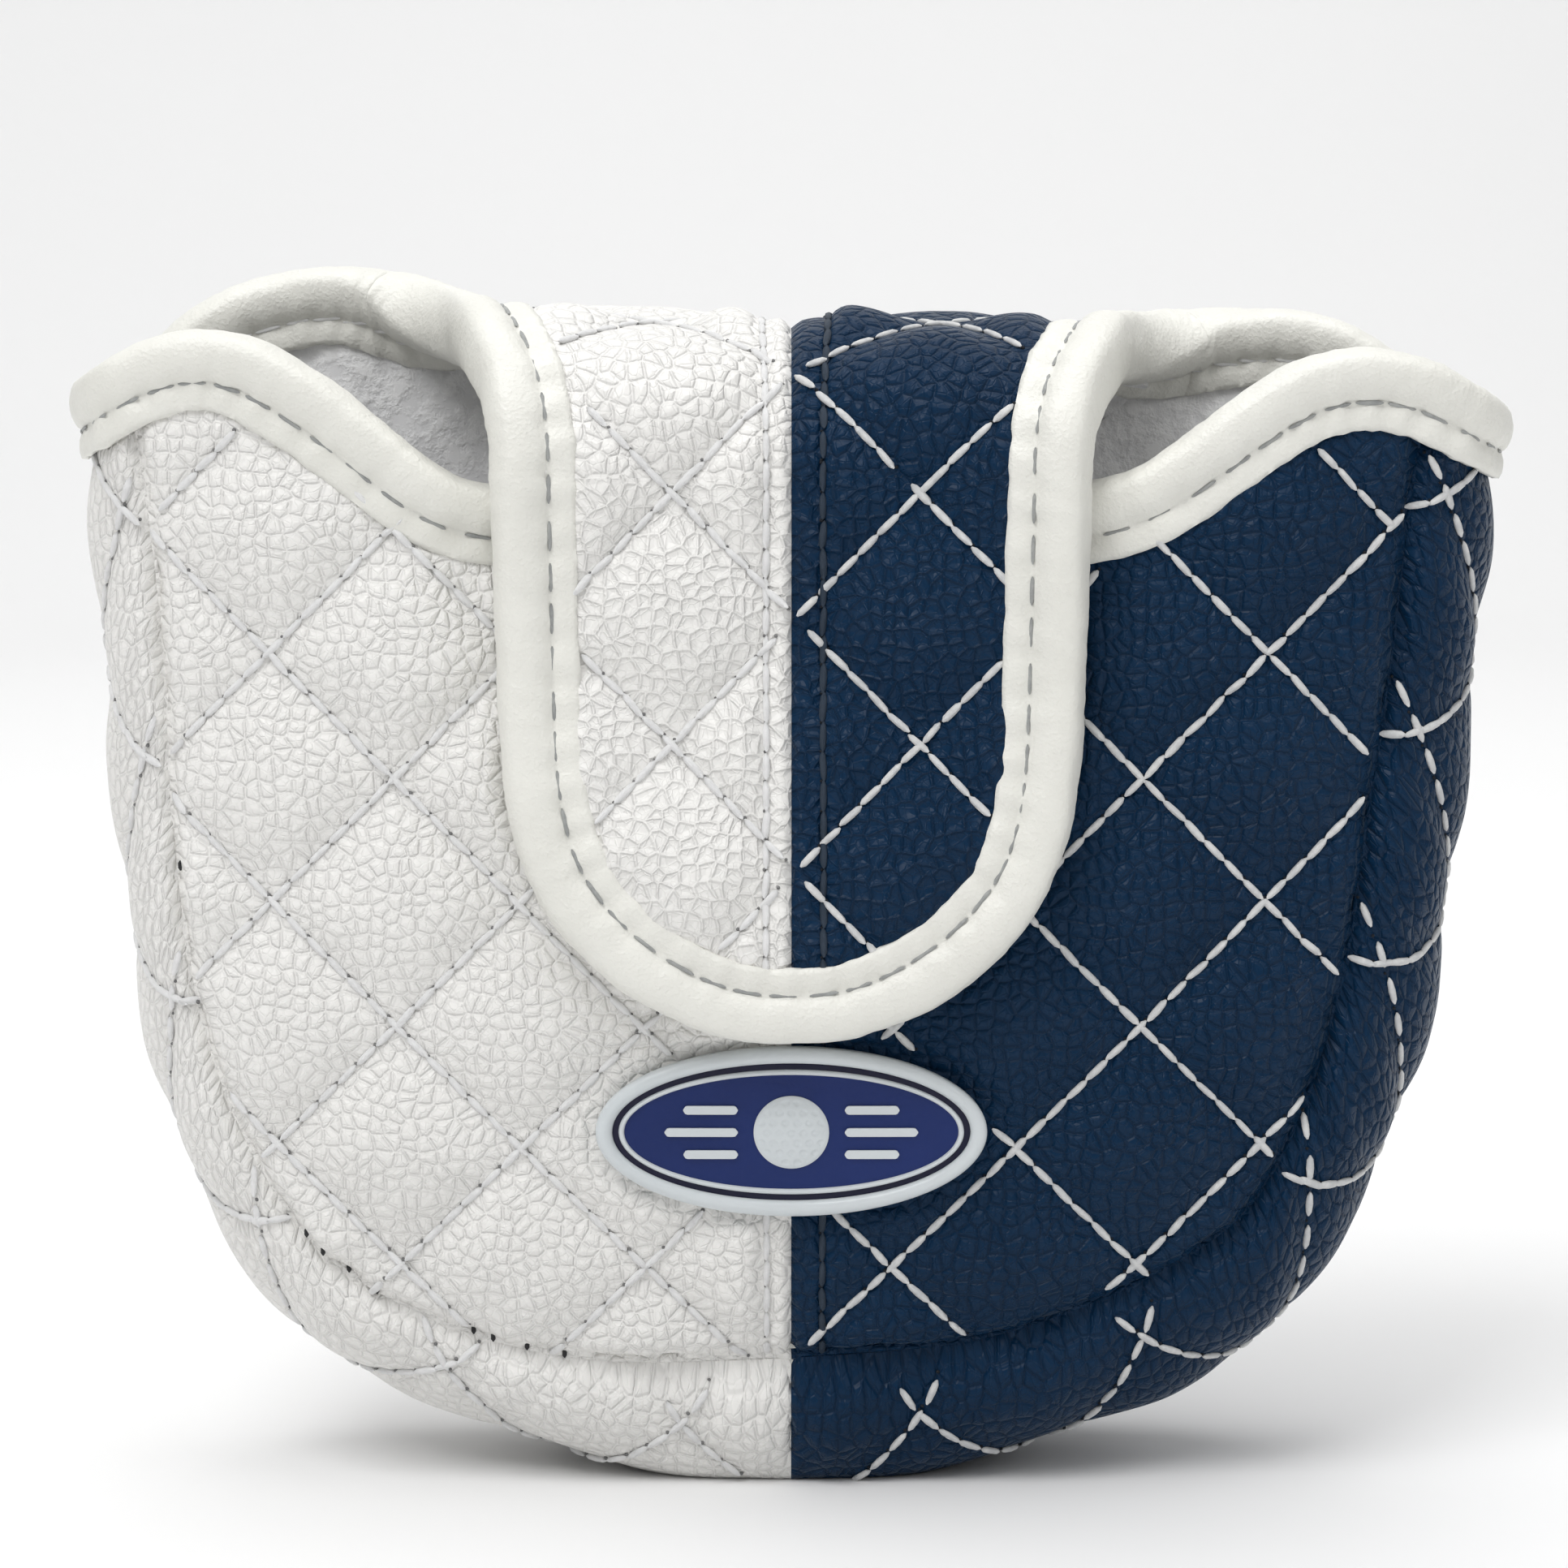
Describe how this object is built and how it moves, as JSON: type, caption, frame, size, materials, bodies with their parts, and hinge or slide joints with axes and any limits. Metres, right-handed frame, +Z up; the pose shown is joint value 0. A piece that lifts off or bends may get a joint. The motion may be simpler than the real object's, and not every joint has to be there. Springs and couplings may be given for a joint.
{
  "type": "putter head cover",
  "caption": "Padded two-tone quilted cover for a mallet putter head: a flat-bottomed pouch with an open mouth, closed by a fold-over flap with magnets.",
  "frame": {"origin": "middle of the flat foot under the pouch, on the ground", "axes": "+X to the right seen from the front (longest), +Y to the back (shortest), +Z up"},
  "size_m": [0.1422, 0.0448, 0.1196],
  "materials": {
    "white_pu": "pebbled white polyurethane leather, satin",
    "navy_pu": "pebbled navy polyurethane leather, satin",
    "cream_pu": "smooth cream binding strip",
    "foam": "soft foam padding, hidden",
    "plush": "light grey plush lining",
    "badge": "soft moulded badge, blue field and pale rim",
    "steel": "plated magnet disc, hidden"
  },
  "bodies": {
    "cover_body": {"front_white_panel": "white_pu", "front_navy_panel": "navy_pu", "back_white_panel": "white_pu", "back_navy_panel": "navy_pu", "gusset_white_panel": "white_pu", "gusset_navy_panel": "navy_pu", "fold_white_panel": "white_pu", "fold_navy_panel": "navy_pu", "front_padding": "foam", "back_padding": "foam", "gusset_padding": "foam", "fold_padding": "foam", "front_lining": "plush", "back_lining": "plush", "gusset_lining": "plush", "fold_lining": "plush", "mouth_binding": "cream_pu", "fold_binding_left": "cream_pu", "fold_binding_right": "cream_pu", "badge": "badge", "front_magnet": "steel"},
    "flap": {"flap_white_panel": "white_pu", "flap_navy_panel": "navy_pu", "flap_padding": "foam", "flap_lining": "plush", "flap_binding": "cream_pu", "flap_magnet": "steel"}
  },
  "joints": [
    {"name": "flap_hinge", "type": "hinge", "parent": "cover_body", "child": "flap", "pos_m": [0, -0.0012, 0.0995], "axis": [-1, 0, 0], "range_deg": [0, 180], "deforming": ["fold_white_panel", "fold_navy_panel", "fold_padding", "fold_lining", "fold_binding_left", "fold_binding_right"]}
  ]
}
